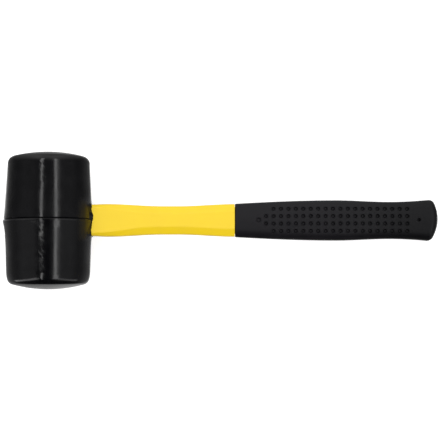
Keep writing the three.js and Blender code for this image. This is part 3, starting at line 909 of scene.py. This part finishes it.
def dimple_tree():
    """Geometry Nodes that press a pattern of round pits into both broad faces of a handle."""
    tree = bpy.data.node_groups.new("press_dimples_into_faces", "GeometryNodeTree")
    face = tree.interface
    face.new_socket("Geometry", in_out="INPUT", socket_type="NodeSocketGeometry")
    for whole in ("Columns", "Rows"):
        face.new_socket(whole, in_out="INPUT", socket_type="NodeSocketInt")
    sizes = (
        "Pitch", "First Column At", "Diameter", "Depth", "Lead Diameter", "Lead Depth",
        "Pin Hole At", "Pin Hole Diameter", "Pin Hole Depth",
    )
    for size in sizes:
        face.new_socket(size, in_out="INPUT", socket_type="NodeSocketFloat")
    face.new_socket("Finish", in_out="INPUT", socket_type="NodeSocketMaterial")
    face.new_socket("Geometry", in_out="OUTPUT", socket_type="NodeSocketGeometry")
    given = add(tree, "NodeGroupInput").outputs

    def point_at(x, y=0.0, z=0.0):
        """A vector from its three parts."""
        return add(tree, "ShaderNodeCombineXYZ", {0: x, 1: y, 2: z}).outputs[0]

    def run(count):
        """How long a line of a count of dimples is."""
        return maths(tree, "MULTIPLY", maths(tree, "SUBTRACT", count, 1.0), given["Pitch"])

    def pattern(columns, rows):
        """Points in columns and rows at the pitch, centred on zero."""
        grid = add(tree, "GeometryNodeMeshGrid", {
            "Size X": run(columns), "Size Y": run(rows),
            "Vertices X": columns, "Vertices Y": rows,
        }).outputs["Mesh"]
        return add(tree, "GeometryNodeMeshToPoints", {"Mesh": grid}).outputs[0]

    def column(rows):
        """Points in one column at the pitch, centred on zero."""
        line = add(tree, "GeometryNodeMeshLine", {
            "Count": rows,
            "Start Location": point_at(0.0, maths(tree, "MULTIPLY", run(rows), -0.5)),
            "Offset": point_at(0.0, given["Pitch"]),
        }).outputs[0]
        return add(tree, "GeometryNodeMeshToPoints", {"Mesh": line}).outputs[0]

    def pits(points, middle_x, diameter, depth):
        """Moves points out to both faces and sets a ball on each, as wide and deep as the pit."""
        moved = add(tree, "GeometryNodeSetPosition", {
            "Geometry": points, "Offset": point_at(middle_x),
        })
        twins = add(tree, "GeometryNodeDuplicateElements", {
            "Geometry": moved.outputs[0], "Amount": 2,
        }, domain="POINT")
        turned_over = maths(tree, "MULTIPLY", twins.outputs["Duplicate Index"], 2.0)
        above = point_at(0.0, 0.0, maths(tree, "SUBTRACT", 1.0, turned_over))
        place = add(tree, "GeometryNodeInputPosition").outputs[0]
        start = add(tree, "ShaderNodeVectorMath", {0: place, 1: above}, operation="ADD")
        down = add(tree, "ShaderNodeVectorMath", {0: above, "Scale": -1.0}, operation="SCALE")
        # A ray from one metre off finds the face.
        hit = add(tree, "GeometryNodeRaycast", {
            "Target Geometry": given["Geometry"], "Source Position": start.outputs[0],
            "Ray Direction": down.outputs[0], "Ray Length": 2.0,
        })
        seated = add(tree, "GeometryNodeSetPosition", {
            "Geometry": twins.outputs[0], "Position": hit.outputs["Hit Position"],
        })
        radius = maths(tree, "MULTIPLY", diameter, 0.5)
        return add(tree, "GeometryNodeInstanceOnPoints", {
            "Points": seated.outputs[0], "Instance": ball.outputs["Mesh"],
            "Scale": point_at(radius, radius, depth),
        }).outputs[0]

    ball = add(tree, "GeometryNodeMeshUVSphere", {"Segments": 20, "Rings": 14, "Radius": 1.0})
    half_run = maths(tree, "MULTIPLY", run(given["Columns"]), 0.5)
    middle = maths(tree, "ADD", given["First Column At"], half_run)
    pair_at = maths(tree, "SUBTRACT", given["First Column At"], given["Pitch"])
    lead_at = maths(tree, "SUBTRACT", pair_at, given["Pitch"])
    half_rows = maths(tree, "MULTIPLY", given["Rows"], 0.5)
    groups = (
        (pattern(given["Columns"], given["Rows"]), middle, "Diameter", "Depth"),
        (column(half_rows), pair_at, "Diameter", "Depth"),
        (column(1), lead_at, "Lead Diameter", "Lead Depth"),
        (column(1), given["Pin Hole At"], "Pin Hole Diameter", "Pin Hole Depth"),
    )
    tools = add(tree, "GeometryNodeJoinGeometry")
    for points, middle_x, diameter, depth in groups:
        tree.links.new(pits(points, middle_x, given[diameter], given[depth]), tools.inputs[0])
    pressed = add(tree, "GeometryNodeMeshBoolean", {
        "Mesh 1": given["Geometry"],
        "Mesh 2": add(tree, "GeometryNodeRealizeInstances", {0: tools.outputs[0]}).outputs[0],
    }, operation="DIFFERENCE", solver="MANIFOLD")
    real = add(tree, "GeometryNodeRealizeInstances", {0: pressed.outputs[0]})
    finished = add(tree, "GeometryNodeSetMaterial", {
        "Geometry": real.outputs[0], "Material": given["Finish"],
    })
    add(tree, "NodeGroupOutput", {0: finished.outputs[0]})
    return tree


# Thermoplastic rubber from a spark-eroded mould: charcoal black and matt, with a fine even grain
# that scatters the light. Towards the head its black is painted paler in patches, as painted
# light.
GRIP_BLACK = "#0a0a0c"
# The paler black is painted light: it stands in for the light falling off along the grip.
GRIP_PAINTED_LIGHT = "#131215"
GRIP_DULLNESS = (0.4, 0.5)
GRIP_PATCH_SIZE = 12
PAINTED_LIGHT_PATCH_SHARES = (0.6, 1.2)  # of the painted paler black, which is painted light, in patches
PAINTED_LIGHT_ALONG = (290 * MM, 200 * MM)  # from where to where the painted light grows, towards the head
GRIP_GRAIN_SIZE = 0.5  # the real grain is about 0.15 mm, too fine to show
GRIP_GRAIN_DEPTH = 0.015

grip_rubber, tree = new_finish("thermoplastic_rubber_overmoulded")
place = add(tree, "ShaderNodeTexCoord").outputs["Object"]
grip_patches = spots(tree, place, GRIP_PATCH_SIZE, detail=3.0)
along = add(tree, "ShaderNodeSeparateXYZ", {0: straight_place(tree, place)}).outputs["X"]
# Painted light: the grip's colour turns paler towards the head, in patches, where the light falls
# off less.
held = mapped(tree, along, PAINTED_LIGHT_ALONG, curve="SMOOTHSTEP")
painted_light = maths(tree, "MULTIPLY", held, mapped(tree, grip_patches, (0.0, 1.0), PAINTED_LIGHT_PATCH_SHARES))
fine = spots(tree, place, GRIP_GRAIN_SIZE, detail=2.0)
shader = add(tree, "ShaderNodeBsdfPrincipled", {
    "Base Color": blend(tree, painted_light, GRIP_BLACK, GRIP_PAINTED_LIGHT),
    "Roughness": mapped(tree, grip_patches, CLOUD_SPREAD, GRIP_DULLNESS),
    "IOR": 1.5, "Specular IOR Level": 0.19,
    "Normal": bump(tree, GRIP_GRAIN_DEPTH, fine),
})
add(tree, "ShaderNodeOutputMaterial", {"Surface": shader.outputs[0]})

grip = skin("dimpled_grip", grip_rings())
cavity_rings = under_grip_rings(GRIP_START - CAVITY_OVERRUN, CLEARANCE)
cut_with(grip, "DIFFERENCE", skin("cavity", cavity_rings))
dimple_columns = int((FLARE_AT - DIMPLE_MARGIN - FIRST_COLUMN_AT) / DIMPLE_PITCH) + 1
apply_tree(grip, dimple_tree(), {
    "Columns": dimple_columns, "Rows": DIMPLE_ROWS, "Pitch": DIMPLE_PITCH * MM,
    "First Column At": FIRST_COLUMN_AT * MM, "Diameter": DIMPLE_DIAMETER * MM,
    "Depth": DIMPLE_DEPTH * MM, "Lead Diameter": LEAD_DIMPLE_DIAMETER * MM,
    "Lead Depth": LEAD_DIMPLE_DEPTH * MM, "Pin Hole At": PIN_HOLE_AT * MM,
    "Pin Hole Diameter": PIN_HOLE_DIAMETER * MM, "Pin Hole Depth": PIN_HOLE_DEPTH * MM,
    "Finish": grip_rubber,
})
give_finish(grip, grip_rubber)
grip.data.transform(lying)
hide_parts("grip_sleeve")
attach(grip, "root")
